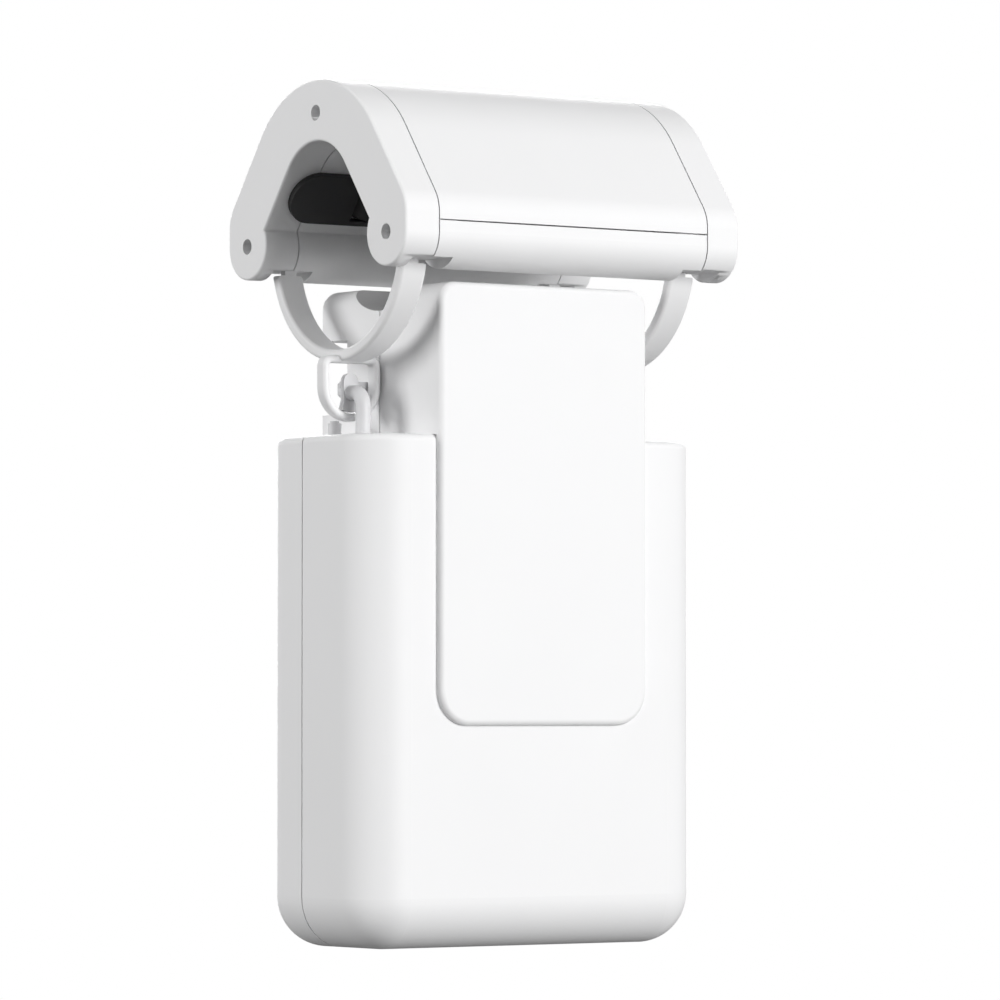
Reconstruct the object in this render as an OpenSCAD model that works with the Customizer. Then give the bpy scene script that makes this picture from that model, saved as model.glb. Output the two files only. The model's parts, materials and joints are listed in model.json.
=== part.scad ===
// Curtain robot: a saddle runs on a round curtain rod and carries a motor driver on two hooks.
// Millimetres. The rod axis is the X axis, +Z is up and the front faces -Y.
// The origin is on the rod axis, half way along the saddle.

/* [Saddle] */
// Diameter of the curtain rod that it runs on
rod_d = 28; // [24:0.5:34]
// Length of the saddle along the rod
saddle_len = 86; // [72:1:104]
// Length of each end cap
cap_len = 8.4; // [8:0.2:12]
// Radius of the inner arch over the rod
arch_r = 12.8; // [11:0.2:14]
// Thickness of the housing between its inner and outer arch
band = 12.7; // [11.5:0.1:15]
// Angle of each flank's normal above level
flank_tilt = 36.3; // [33:0.1:40]
// Distance of each lower lobe's centre from the middle
lobe_y = 25.5; // [24.5:0.1:31]
// Radius of each lower lobe
lobe_r = 7.05; // [6.5:0.05:8.5]
// Wall of the saddle housing
skin = 2; // [1.6:0.1:2.4]

/* [Idler rollers] */
// Radius of each idler roller
roller_r = 6; // [5:0.1:6.6]
// Distance of the rollers from the middle of the saddle
roller_x = 18; // [15:0.5:24]
// Width of each roller
roller_w = 9; // [7:0.5:9.5]

/* [Straps] */
// Centre-line radius of the half-round straps
strap_r = 23.35; // [21:0.05:28]
// Thickness of a strap
strap_t = 2.5; // [2.2:0.1:3.2]
// Width of a strap along the rod
strap_w = 6.4; // [5.6:0.1:8]
// Centre-line radius of the eye below a strap
eye_r = 6.4; // [6:0.1:8]

/* [Driver] */
// Width of the neck and its panels
neck_w = 53.4; // [50:0.2:58]
// Depth of the neck from the front panel to the rear panel
neck_d = 44; // [43:0.2:54]
// Height of the front and rear panels
panel_h = 91.6; // [70:0.2:110]
// Width of the driver body
body_w = 87; // [84:0.5:106]
// Height of the driver body
body_h = 106; // [100:0.5:130]
// Radius of the upright and bottom edges of the body
corner_r = 10.5; // [8:0.1:12.5]
// Wall of the body shells and of the neck
wall = 2; // [1.6:0.1:2.4]

/* [Drive] */
// Radius of a drive wheel at the bottom of its groove
wheel_r = 8.5; // [8:0.1:9]
// Gear module
gear_m = 0.8; // [0.7:0.05:0.85]
// Travel of the hooks out of the body
hook_travel = 8; // [4:0.5:9]

/* [Fits] */
// Gap between pieces that move past each other
clear = 0.3; // [0.25:0.05:0.5]
// Radial running fit of a pin or shaft
fit = 0.05; // [0.02:0.01:0.1]
// Width of a seam between two housing pieces
seam = 0.3; // [0.2:0.05:0.5]

/* [Hidden] */
$fn = 64;
// Saddle
rod_r = rod_d / 2;
roller_proud = 2.56;
flank_c = cos(flank_tilt);
flank_s = sin(flank_tilt);
flank_n = rod_r + roller_proud;
arch_z = (flank_n - arch_r) / flank_s;
outer_r = arch_r + band;
half_len = saddle_len / 2;
seam_x = half_len - cap_len;
lobe_z = -1.3;
side_y = lobe_y + lobe_r;
shoulder_r = 8;
shoulder_y = side_y - shoulder_r;
shoulder_z = (outer_r + arch_z * flank_s - shoulder_r - shoulder_y * flank_c) / flank_s;
cover_z = 1.15;
cover_rib_x = 6;
end_wall = 2.2;
bulkhead = 2.8;
lobe_block = 6;
slot_wall = 1.25;
cap_hole_z = arch_z + arch_r + band * 0.46;
cap_screw_spots = [[0, cap_hole_z], [-lobe_y, lobe_z], [lobe_y, lobe_z]];
cap_recess_r = 1.65;
cap_recess = 3.2;
cap_head_r = 1.5;
cap_head = 1.3;
cap_shank_r = 0.9;
cap_shank = cap_len - cap_recess + 4.8;
boss_r = 2.9;
// Roller carriers and pins
carrier_t = 1.3;
carrier_low = 6.9;
carrier_high = -4.9;
carrier_x = half_len - 3;
roller_mid = 0.8;
roller_n = rod_r + roller_r;
roller_half = roller_w / 2;
lug = 2.2;
lug_gap = 0.5;
roller_pin_r = 1;
// Straps
strap_z = -1.9;
strap_out = strap_r + strap_t / 2;
strap_end_z = -7.3;
strap_edge = 0.8;
strap_corner = 1.1;
slot_x = 4.9;
slot_z = -6.3;
tongue_y = sqrt(pow(strap_r, 2) - pow(strap_end_z - strap_z, 2)) - 0.4;
tongue_t = 1.6;
tongue_w = 2.8;
tongue_head_w = 4.6;
tongue_head_z = -3.2;
tongue_top = -1.2;
eye_t = 1.6;
eye_y = 1.6;
eye_corner = 1.4;
eye_sink = 0.5;
eye_hole = eye_r - eye_t / 2;
eye_z = strap_z - strap_out - eye_hole + 0.4;
eye_gap = 0.7;
hook_x = neck_w / 2 + eye_gap + eye_r + eye_t / 2;
// Driver
body_top = -42;
body_bottom = body_top - body_h;
body_d = neck_d - 3.2;
body_front = -body_d / 2;
shell_seam = 4;
top_edge = 1.5;
neck_top = -10.4;
neck_half = neck_w / 2;
neck_y = neck_d / 2;
neck_corner = 4;
panel_bottom = neck_top - panel_h;
panel_corner = 7.5;
panel_edge = 1.2;
trough_r = rod_r + 1.5;
recess_x = 8;
recess_y = 12;
recess_top = -21;
recess_bottom = -36.6;
opening_x = neck_half - 3.5;
opening_y = body_d / 2 - wall - 0.4;
// Drive
axle_z = -(rod_r + wheel_r);
wheel_x = 11.5;
tyre_half = 6.5;
tyre_r = -axle_z - sqrt(pow(rod_r, 2) - pow(tyre_half, 2));
wheel_room = sqrt(pow(tyre_r, 2) - pow(axle_z + trough_r + wall, 2)) + 0.4;
hub_r = 6;
shaft_r = 2;
wheel_teeth = 20;
small_teeth = 20;
big_teeth = 26;
pinion_teeth = 14;
backlash = 0.2;
small_span = gear_m * (wheel_teeth + small_teeth) / 2;
gear_room = gear_m * (wheel_teeth / 2 + 0.8) + 0.4;
gear_z = axle_z - sqrt(pow(small_span, 2) - pow(wheel_x, 2));
motor_z = gear_z - gear_m * (big_teeth + pinion_teeth) / 2;
big_y0 = -17.4;
big_y1 = -14.6;
small_y0 = -13.8;
small_y1 = -10.2;
plate_y = 8;
plate_t = 1.5;
frame_x = neck_half - wall - 0.1;
frame_wall = 1.2;
gear_pin_r = 1.5;
motor_r = 12;
motor_len = 24;
motor_boss_r = 3.5;
motor_shaft_r = 1;
motor_screw_x = 8;
right_dir = atan2(axle_z - gear_z, wheel_x);
left_dir = 180 - right_dir;
small_phase = right_dir;
big_phase = 90;
right_phase = mesh_phase(small_phase, small_teeth, wheel_teeth, right_dir);
left_phase = mesh_phase(small_phase, small_teeth, wheel_teeth, left_dir);
pinion_phase = mesh_phase(big_phase, big_teeth, pinion_teeth, 270);
// Hooks
leg_r = 1.6;
leg_y = -5.3;
post_r = 1.45;
post_y = 5.2;
post_top = -38.6;
arm_z = eye_z - 1.3;
bend_r = 2.8;
tab_w = 3.6;
tab_y = -0.9;
tab_t = 1.2;
tab_top = eye_z + 2.9;
keeper_y = eye_y + clear;
keeper_t = 1;
keeper_h = 3.4;
bridge_top = body_top - wall - 18;
bridge_t = 4;
guide_t = 3;
guide_x = 4.5;
guide_y = 9;
collar = 1;
spring_r = 2.6;
spring_wire = 0.6;
spring_turns = 6;
spring_top = body_top - wall - guide_t - 0.05;
spring_bottom = bridge_top + 0.05;
// Inside the body
shell_screw_x = body_w / 2 - 7.5;
shell_screw_spots = [[-1, body_top - 30], [1, body_top - 30], [-1, body_bottom + 14], [1, body_bottom + 14]];
shell_boss_r = 3.2;
shell_shank_r = 1.2;
shell_head_r = 2.3;
shell_head_y = shell_seam + 4;
cell_r = 9.1;
cell_len = 65;
cell_x = 11;
cell_y = -6;
cell_z = body_bottom + 7;
tray_y = 4.4;
tray_t = 1.5;
tray_x = 22;
board_y = 9.3;
board_t = 1.6;
board_x = shell_screw_x - 4.5;
board_z0 = body_bottom + 6;
board_z1 = cell_z + cell_len + 7;
board_spots = [[-28, board_z0 + 6], [28, board_z0 + 6], [-28, board_z1 - 6], [28, board_z1 - 6]];
rear_in = body_d / 2 - wall;
inlet_w = 9;
inlet_h = 3.2;
inlet_y = board_y - 0.1 - inlet_h / 2;
button_r = 4.2;
button_z = body_bottom + 26;
button_travel = 0.8;
light_z = button_z + 12;
light_r = 1.3;

// Helpers

// A drawing in the Y-Z plane made into a prism along X.
module x_prism(x0, x1) {
    translate([x0, 0, 0])
        rotate([90, 0, 90])
            linear_extrude(x1 - x0)
                children();
}

// A drawing in the X-Z plane made into a prism along Y.
module y_prism(y0, y1) {
    translate([0, y1, 0])
        rotate([90, 0, 0])
            linear_extrude(y1 - y0)
                children();
}

module box(low, high) {
    translate(low)
        cube(high - low);
}

module x_pin(x0, x1, y, z, r) {
    translate([x0, y, z])
        rotate([0, 90, 0])
            cylinder(r = r, h = x1 - x0);
}

module y_pin(y0, y1, x, z, r) {
    translate([x, y0, z])
        rotate([-90, 0, 0])
            cylinder(r = r, h = y1 - y0);
}

module z_pin(z0, z1, x, y, r) {
    translate([x, y, z0])
        cylinder(r = r, h = z1 - z0);
}

module mirrored_x(on) {
    mirror([on ? 1 : 0, 0, 0])
        children();
}

module mirrored_y(on) {
    mirror([0, on ? 1 : 0, 0])
        children();
}

// Places a piece on one flank: its Y runs down the flank and its Z away from the rod.
module on_flank(front) {
    mirrored_y(front)
        rotate([flank_tilt - 90, 0, 0])
            children();
}

// Saddle housing: drawings in the Y-Z plane, drawn in by an inset

function along_flank(r) = [r * flank_c, arch_z + r * flank_s];

module outer_fill(inset) {
    r = outer_r - inset;
    sr = shoulder_r - inset;
    side = side_y - inset;
    centre = [0, arch_z];
    shoulder = [shoulder_y, shoulder_z];
    shoulder_start = shoulder + sr * [flank_c, flank_s];
    shoulder_tip = [side, shoulder_z + sr * tan(flank_tilt / 2)];
    far = 2 * outer_r;
    lap = flank_tilt - 4;
    intersection() {
        translate(centre)
            circle(r);
        translate(centre)
            polygon([[0, -1], far * [cos(lap), sin(lap)], [far * cos(lap), far], [-far * cos(lap), far],
                far * [-cos(lap), sin(lap)]]);
    }
    for (s = [0, 1]) {
        mirror([s, 0]) {
            polygon([centre, along_flank(r), shoulder_start, shoulder, [side, shoulder_z],
                [side, lobe_z], [lobe_y, lobe_z]]);
            intersection() {
                translate(shoulder)
                    circle(sr);
                polygon([shoulder - [2, 0.6], shoulder_start, shoulder_tip, [side, shoulder_z]]);
            }
        }
    }
}

module inner_fill(inset) {
    r = arch_r + inset;
    down = 60 * [flank_s, -flank_c];
    right = along_flank(r);
    left = [-right[0], right[1]];
    translate([0, arch_z])
        circle(r);
    polygon([right, right + down, left + [-down[0], down[1]], left, [0, arch_z]]);
}

module lobes(inset) {
    for (s = [-1, 1]) {
        translate([s * lobe_y, lobe_z])
            circle(lobe_r - inset);
    }
}

module saddle_profile(inset) {
    difference() {
        outer_fill(inset);
        inner_fill(inset);
    }
    lobes(inset);
}

module above(z) {
    translate([-100, z])
        square([200, 100]);
}

// Room for the strap ends at one end of the saddle: a slot under each lobe and a T-shaped pocket above it.
module strap_room() {
    for (s = [-1, 1]) {
        box([hook_x - slot_x, -side_y - 1, lobe_z - lobe_r - 1], [hook_x + slot_x, side_y + 1, slot_z]);
        translate([hook_x, s * tongue_y, 0])
            tongue(0.15);
    }
}

// The T-shaped end that holds a strap, grown on all sides for its pocket.
module tongue(grow) {
    half_t = tongue_t / 2 + grow;
    half_w = tongue_w / 2 + grow;
    half_head = tongue_head_w / 2 + grow;
    box([-half_w, -half_t, strap_end_z - 1.2], [half_w, half_t, tongue_top + grow]);
    box([-half_head, -half_t, tongue_head_z - grow], [half_head, half_t, tongue_top + grow]);
}

// The right end cap. The left one is its mirror image.
module end_cap() {
    difference() {
        union() {
            difference() {
                x_prism(seam_x + seam / 2, half_len)
                    saddle_profile(0);
                x_prism(seam_x - 1, half_len - end_wall)
                    difference() {
                        outer_fill(skin);
                        inner_fill(skin);
                        lobes(-0.4);
                    }
            }
            x_pin(seam_x + seam / 2, half_len - 1, 0, cap_hole_z, boss_r);
        }
        for (p = cap_screw_spots) {
            x_pin(half_len - cap_recess, half_len + 1, p[0], p[1], cap_recess_r);
            x_pin(seam_x - 1, half_len, p[0], p[1], cap_shank_r + 0.15);
        }
        strap_room();
    }
}

module saddle_skin_cut() {
    intersection() {
        difference() {
            outer_fill(-1);
            outer_fill(skin + 0.1);
        }
        above(cover_z - seam / 2);
    }
}

// Upper housing with two stiffening ribs inside.
module saddle_cover() {
    end_x = seam_x - seam / 2;
    color("White")
        difference() {
            union() {
                x_prism(-end_x, end_x)
                    difference() {
                        outer_fill(0);
                        outer_fill(skin);
                    }
                for (s = [-1, 1]) {
                    x_prism(s * cover_rib_x - 0.6, s * cover_rib_x + 0.6)
                        difference() {
                            outer_fill(skin - 0.3);
                            outer_fill(skin + 1.5);
                            lobes(-clear);
                        }
                }
            }
            box([-half_len, -2 * side_y, lobe_z - 1], [half_len, 2 * side_y, cover_z + seam / 2]);
        }
}

// Bearing lugs for one roller, on its flank.
module roller_lugs() {
    low = roller_mid - roller_half - lug_gap - lug;
    high = roller_mid + roller_half + lug_gap;
    for (t = [low, high]) {
        box([-3, t, flank_n + 0.8], [3, t + lug, roller_n + 2.6]);
    }
}

module each_roller() {
    for (front = [true, false], side = [-1, 1]) {
        on_flank(front)
            translate([side * roller_x, 0, 0])
                children();
    }
}

module saddle_frame() {
    end_x = seam_x - seam / 2;
    block_x = min(end_x - lobe_block, hook_x - slot_x - slot_wall);
    slot_t = roller_half + lug_gap;
    color("WhiteSmoke")
        difference() {
            union() {
                x_prism(-end_x, end_x)
                    difference() {
                        saddle_profile(0);
                        saddle_profile(skin);
                        saddle_skin_cut();
                    }
                for (side = [0, 1]) {
                    mirrored_x(side == 1) {
                        x_prism(end_x - bulkhead, end_x)
                            difference() {
                                saddle_profile(0.6);
                                saddle_skin_cut();
                            }
                        x_prism(block_x, end_x)
                            difference() {
                                lobes(0.6);
                                saddle_skin_cut();
                            }
                        x_pin(end_x - lobe_block, end_x, 0, cap_hole_z, boss_r);
                    }
                }
                each_roller()
                    roller_lugs();
            }
            each_roller() {
                box([-roller_r - 0.5, roller_mid - slot_t, flank_n - 2],
                    [roller_r + 0.5, roller_mid + slot_t, flank_n + skin + 1.5]);
                y_pin(-20, 20, 0, roller_n, roller_pin_r + fit);
            }
            for (side = [0, 1]) {
                mirrored_x(side == 1) {
                    strap_room();
                    for (p = cap_screw_spots) {
                        x_pin(end_x - lobe_block - 1, end_x + 1, p[0], p[1], cap_shank_r + fit);
                    }
                }
            }
        }
}

module cap_left() {
    color("White")
        mirrored_x(true)
            end_cap();
}

module cap_right() {
    color("White")
        end_cap();
}

module cap_screws() {
    head_x = half_len - cap_recess;
    color("Silver")
        for (side = [0, 1], p = cap_screw_spots) {
            mirrored_x(side == 1)
                difference() {
                    union() {
                        x_pin(head_x, head_x + cap_head, p[0], p[1], cap_head_r);
                        x_pin(head_x - cap_shank, head_x + 0.1, p[0], p[1], cap_shank_r);
                    }
                    for (a = [0, 90]) {
                        translate([head_x + cap_head, p[0], p[1]])
                            rotate([a, 0, 0])
                                cube([1.2, 1.8, 0.45], center = true);
                    }
                }
        }
}

// Carrier strip on one flank, with an opening for each roller.
module carrier(front) {
    mid = (carrier_low + carrier_high) / 2;
    half = (carrier_low - carrier_high) / 2;
    slot_t = roller_half + lug_gap;
    on_flank(front)
        difference() {
            translate([0, mid, flank_n - carrier_t])
                linear_extrude(carrier_t) {
                    square([2 * (carrier_x - half), 2 * half], center = true);
                    for (s = [-1, 1]) {
                        translate([s * (carrier_x - half), 0])
                            circle(half);
                    }
                }
            for (s = [-1, 1]) {
                box([s * roller_x - roller_r + 0.4, roller_mid - slot_t, flank_n - 3],
                    [s * roller_x + roller_r - 0.4, roller_mid + slot_t, flank_n + 1]);
            }
        }
}

module carrier_front() {
    color("DimGray")
        carrier(true);
}

module carrier_rear() {
    color("DimGray")
        carrier(false);
}

module roller_pins() {
    reach = roller_half + lug_gap + lug - 0.1;
    color("Silver")
        each_roller()
            y_pin(roller_mid - reach, roller_mid + reach, 0, roller_n, roller_pin_r);
}

// One rubber roller with rounded rims, bored for its pin.
module roller(front, side) {
    rim = 0.6;
    color("Black")
        on_flank(front)
            translate([side * roller_x, roller_mid, roller_n])
                rotate([-90, 0, 0])
                    rotate_extrude()
                        difference() {
                            union() {
                                translate([0, -roller_half + rim])
                                    square([roller_r, roller_w - 2 * rim]);
                                translate([0, -roller_half])
                                    square([roller_r - rim, roller_w]);
                                for (s = [-1, 1]) {
                                    translate([roller_r - rim, s * (roller_half - rim)])
                                        circle(rim, $fn = 32);
                                }
                            }
                            translate([-1, -roller_w])
                                square([roller_pin_r + fit + 1, 2 * roller_w]);
                        }
}

module roller_front_left() {
    roller(true, -1);
}

module roller_front_right() {
    roller(true, 1);
}

module roller_rear_left() {
    roller(false, -1);
}

module roller_rear_right() {
    roller(false, 1);
}

// Straps

// Cross-section of a strap: radius across, width up.
module strap_section() {
    half = strap_w / 2;
    translate([strap_r - strap_t / 2 + strap_edge, -half])
        square([strap_t - 2 * strap_edge, strap_w]);
    translate([strap_r - strap_t / 2, -half + strap_edge])
        square([strap_t, strap_w - 2 * strap_edge]);
    for (sx = [-1, 1], sy = [-1, 1]) {
        translate([strap_r + sx * (strap_t / 2 - strap_edge), sy * (half - strap_edge)])
            circle(strap_edge, $fn = 32);
    }
}

// The half-round band of a strap, with its ends rounded across the width.
module strap_band() {
    intersection() {
        translate([0, 0, strap_z])
            rotate([90, 0, 90])
                rotate([0, 0, 180])
                    rotate_extrude(angle = 180)
                        strap_section();
        y_prism(-strap_out - 1, strap_out + 1)
            rounded_face(strap_w / 2 + 0.02, strap_z - strap_out - 2, strap_end_z, strap_corner, 0.5);
    }
}

// Cross-section of the eye: a flat band with round edges, at a distance r from the middle of its bend.
module eye_section(r) {
    flat = eye_y - eye_t / 2;
    translate([r - eye_t / 2, -flat])
        square([eye_t, 2 * flat]);
    for (s = [-1, 1]) {
        translate([r, s * flat])
            circle(eye_t / 2, $fn = 32);
    }
}

// The eye: a round bottom, two upright sides and a bar that runs through the strap.
module eye() {
    side = strap_z - strap_out + eye_sink - eye_corner - eye_z;
    bar_x = eye_r - eye_corner;
    rotate([90, 0, 0])
        rotate([0, 0, 180])
            rotate_extrude(angle = 180)
                eye_section(eye_r);
    for (left = [false, true]) {
        mirrored_x(left) {
            linear_extrude(side)
                eye_section(eye_r);
            translate([bar_x, 0, side])
                rotate([90, 0, 0])
                    rotate_extrude(angle = 90)
                        eye_section(eye_corner);
        }
    }
    x_prism(-bar_x, bar_x)
        translate([0, side])
            rotate(90)
                eye_section(eye_corner);
}

// The right half-round strap, its T-shaped ends and the eye below it.
module strap() {
    translate([hook_x, 0, 0]) {
        strap_band();
        for (s = [-1, 1]) {
            translate([0, s * tongue_y, 0])
                tongue(0);
        }
        translate([0, 0, eye_z])
            eye();
    }
}

module strap_left() {
    color("White")
        mirrored_x(true)
            strap();
}

module strap_right() {
    color("White")
        strap();
}

// Neck and panels

// Rounded rectangle in the X-Z plane with one radius for its top corners and one for its bottom corners.
module rounded_face(half_w, z0, z1, top_corner, bottom_corner) {
    translate([-half_w, z0 + bottom_corner])
        square([2 * half_w, z1 - z0 - bottom_corner - top_corner]);
    translate([-half_w + top_corner, z1 - top_corner])
        square([2 * (half_w - top_corner), top_corner]);
    translate([-half_w + bottom_corner, z0])
        square([2 * (half_w - bottom_corner), bottom_corner]);
    for (s = [-1, 1]) {
        translate([s * (half_w - top_corner), z1 - top_corner])
            circle(top_corner);
        translate([s * (half_w - bottom_corner), z0 + bottom_corner])
            circle(bottom_corner);
    }
}

// A quarter ring with a round section, for a softly rounded corner edge. It lies in the X-Z plane.
module corner_edge(x, z, turn, corner) {
    translate([x, 0, z])
        rotate([90, 0, 0])
            rotate([0, 0, turn])
                rotate_extrude(angle = 90)
                    translate([corner - panel_edge, 0])
                        circle(panel_edge, $fn = 32);
}

// Panel plate with softly rounded front edges, from its front at -neck_y back to the body.
module panel_plate() {
    front = -neck_y;
    edge_y = front + panel_edge;
    z0 = panel_bottom;
    z1 = neck_top;
    difference() {
        union() {
            y_prism(front, body_front)
                rounded_face(neck_half - panel_edge, z0 + panel_edge, z1 - panel_edge,
                    neck_corner - panel_edge, panel_corner - panel_edge);
            y_prism(edge_y, body_front)
                rounded_face(neck_half, z0, z1, neck_corner, panel_corner);
            translate([0, edge_y, 0]) {
                for (s = [-1, 1]) {
                    z_pin(z0 + panel_corner, z1 - neck_corner, s * (neck_half - panel_edge), 0, panel_edge);
                }
                x_pin(-neck_half + neck_corner, neck_half - neck_corner, 0, z1 - panel_edge, panel_edge);
                x_pin(-neck_half + panel_corner, neck_half - panel_corner, 0, z0 + panel_edge, panel_edge);
                corner_edge(neck_half - neck_corner, z1 - neck_corner, 0, neck_corner);
                corner_edge(-neck_half + neck_corner, z1 - neck_corner, 90, neck_corner);
                corner_edge(-neck_half + panel_corner, z0 + panel_corner, 180, panel_corner);
                corner_edge(neck_half - panel_corner, z0 + panel_corner, 270, panel_corner);
            }
        }
        box([-neck_w, body_front, z0 - 1], [neck_w, 0, z1 + 1]);
    }
}

// Half of the neck with its panel, in front of the middle seam. The half with no recess has room for the gears.
module neck_half_shell(with_recess) {
    difference() {
        union() {
            panel_plate();
            y_prism(-neck_y + panel_edge, -seam / 2)
                rounded_face(neck_half, body_top, neck_top, neck_corner, 0.01);
        }
        difference() {
            y_prism(-neck_y + wall, 1)
                rounded_face(neck_half - wall, body_top - 1, neck_top - wall, neck_corner - wall, 0.01);
            box([-neck_w, -neck_d, panel_bottom], [neck_w, -body_d / 2, body_top]);
            x_pin(-neck_w, neck_w, 0, 0, trough_r + wall);
            if (with_recess) {
                finger_recess(wall);
            }
        }
        x_pin(-neck_w, neck_w, 0, 0, trough_r);
        for (s = [-1, 1]) {
            box([s * wheel_x - wheel_room, -tyre_half - 1.2, axle_z], [s * wheel_x + wheel_room, 1, 0]);
        }
        if (with_recess) {
            finger_recess(0);
        } else {
            for (s = [-1, 1]) {
                y_pin(small_y0 - 0.4, small_y1 + 0.4, s * wheel_x, axle_z, gear_room);
            }
        }
    }
}

// Room for a finger behind each hook, at both front corners of a neck half.
module finger_recess(grow) {
    for (side = [0, 1]) {
        mirrored_x(side == 1)
            box([neck_half - recess_x - grow, -neck_y - 5, recess_bottom - grow],
                [neck_half + 5, -recess_y + grow, recess_top + grow]);
    }
}

module front_panel() {
    color("White")
        neck_half_shell(false);
}

module rear_panel() {
    color("White")
        mirrored_y(true)
            neck_half_shell(true);
}

// Body shells

// Section of the body edge: a large radius below and a small one above.
module edge_section(r, z0, z1, top_r) {
    translate([0, z0 + r])
        square([r, z1 - z0 - r - top_r]);
    intersection() {
        translate([0, z0 + r])
            circle(r);
        translate([0, z0])
            square([r, r]);
    }
    translate([0, z1 - top_r])
        square([r - top_r, top_r]);
    intersection() {
        translate([r - top_r, z1 - top_r])
            circle(top_r, $fn = 32);
        translate([r - top_r, z1 - top_r])
            square([top_r, top_r]);
    }
}

// Block with upright and bottom edges of one radius and a small radius round its top.
module round_block(inset) {
    w = body_w / 2 - inset;
    d = body_d / 2 - inset;
    r = corner_r - inset;
    z0 = body_bottom + inset;
    z1 = body_top - inset;
    top_r = max(top_edge - inset, 0.2);
    turns = [[1, 1, 0], [-1, 1, 90], [-1, -1, 180], [1, -1, 270]];
    for (t = turns) {
        translate([t[0] * (w - r), t[1] * (d - r), 0])
            rotate([0, 0, t[2]])
                rotate_extrude(angle = 90)
                    edge_section(r, z0, z1, top_r);
    }
    for (s = [0, 1]) {
        mirrored_x(s == 1)
            translate([w - r, d - r, 0])
                rotate([90, 0, 0])
                    linear_extrude(2 * (d - r))
                        edge_section(r, z0, z1, top_r);
        mirrored_y(s == 1)
            translate([-(w - r), d - r, 0])
                rotate([90, 0, 90])
                    linear_extrude(2 * (w - r))
                        edge_section(r, z0, z1, top_r);
    }
    box([-(w - r), -(d - r), z0], [w - r, d - r, z1]);
}

// Everything that passes through the top wall of the body.
module top_openings() {
    box([-opening_x, -opening_y, body_top - 6], [opening_x, opening_y, body_top + 1]);
    for (s = [-1, 1]) {
        z_pin(body_top - 6, body_top + 1, s * hook_x, leg_y, leg_r + collar + fit);
        z_pin(body_top - 6, body_top + 1, s * hook_x, post_y, post_r + collar + fit);
    }
}

module at_shell_screws() {
    for (p = shell_screw_spots) {
        translate([p[0] * shell_screw_x, 0, p[1]])
            children();
    }
}

module front_shell() {
    cut = shell_seam - seam / 2;
    color("White")
        difference() {
            union() {
                difference() {
                    intersection() {
                        round_block(0);
                        box([-body_w, -body_d, body_bottom - 1], [body_w, cut, body_top + 1]);
                    }
                    round_block(wall);
                }
                at_shell_screws()
                    y_pin(-body_d / 2 + 4.6, cut - 0.6, 0, 0, shell_boss_r);
            }
            top_openings();
            at_shell_screws()
                y_pin(-10, cut + 1, 0, 0, shell_shank_r + fit);
        }
}

// Ring inside the rear shell that centres it in the front shell.
module shell_lip() {
    intersection() {
        difference() {
            round_block(wall + 0.1);
            round_block(wall + 1.1);
        }
        box([-body_w, shell_seam - 2.4, body_bottom], [body_w, shell_seam + 2, body_top]);
    }
    intersection() {
        difference() {
            round_block(wall - 0.5);
            round_block(wall + 1.1);
        }
        box([-body_w, shell_seam + 0.4, body_bottom], [body_w, shell_seam + 2, body_top]);
    }
}

module rear_shell() {
    start = shell_seam + seam / 2;
    color("White")
        difference() {
            union() {
                difference() {
                    intersection() {
                        round_block(0);
                        box([-body_w, start, body_bottom - 1], [body_w, body_d, body_top + 1]);
                    }
                    round_block(wall);
                }
                shell_lip();
                at_shell_screws()
                    y_pin(start - 0.4, rear_in - 2.6, 0, 0, shell_boss_r + 0.2);
                for (p = board_spots) {
                    y_pin(board_y + board_t, rear_in + 0.5, p[0], p[1], 2.4);
                }
            }
            top_openings();
            for (s = [-1, 1]) {
                box([s * hook_x - guide_x - 0.2, -guide_y - 0.2, body_top - wall - guide_t - 0.2],
                    [s * hook_x + guide_x + 0.2, guide_y + 0.2, body_top - wall]);
            }
            at_shell_screws() {
                y_pin(shell_head_y - 1.6, body_d, 0, 0, shell_head_r + 0.2);
                y_pin(start - 1, body_d, 0, 0, shell_shank_r + 0.2);
            }
            for (p = board_spots) {
                y_pin(board_y, rear_in - 2, p[0], p[1], 0.85);
            }
            inlet_block(0.3, body_bottom - 1, body_bottom + wall + 2);
            y_pin(rear_in - 1, body_d, 0, button_z, button_r + clear);
            y_pin(rear_in - 1, body_d, 0, light_z, light_r + fit);
        }
}

module shell_screws() {
    color("Silver")
        at_shell_screws()
            difference() {
                union() {
                    y_pin(shell_head_y - 1.6, shell_head_y, 0, 0, shell_head_r);
                    y_pin(shell_head_y - 14, shell_head_y - 1.5, 0, 0, shell_shank_r);
                }
                for (a = [0, 90]) {
                    translate([0, shell_head_y, 0])
                        rotate([0, a, 0])
                            cube([3, 1.6, 0.7], center = true);
                }
            }
}

// Hooks, guides and springs

module hook_guides() {
    under = body_top - wall;
    color("Gray")
        for (s = [-1, 1]) {
            difference() {
                union() {
                    box([s * hook_x - guide_x, -guide_y, under - guide_t],
                        [s * hook_x + guide_x, guide_y, under]);
                    z_pin(under - 1, body_top + 0.4, s * hook_x, leg_y, leg_r + collar);
                    z_pin(under - 1, body_top + 0.4, s * hook_x, post_y, post_r + collar);
                }
                z_pin(under - 10, body_top + 1, s * hook_x, leg_y, leg_r + fit);
                z_pin(under - 10, body_top + 1, s * hook_x, post_y, post_r + fit);
            }
        }
}

// The tab that stands inside the eye, with a rounded top and a flared foot just above the eye.
module hook_tab() {
    half = tab_w / 2;
    round_z = tab_top - half;
    intersection() {
        union() {
            translate([0, round_z])
                circle(half);
            translate([-half, eye_z - eye_r])
                square([tab_w, round_z - eye_z + eye_r]);
            polygon([[-half, arm_z - 1.5], [half, arm_z - 1.5], [half + 1, eye_z - eye_r],
                [-half - 1, eye_z - eye_r]]);
        }
        translate([0, eye_z])
            circle(eye_hole - clear);
    }
}

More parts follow.
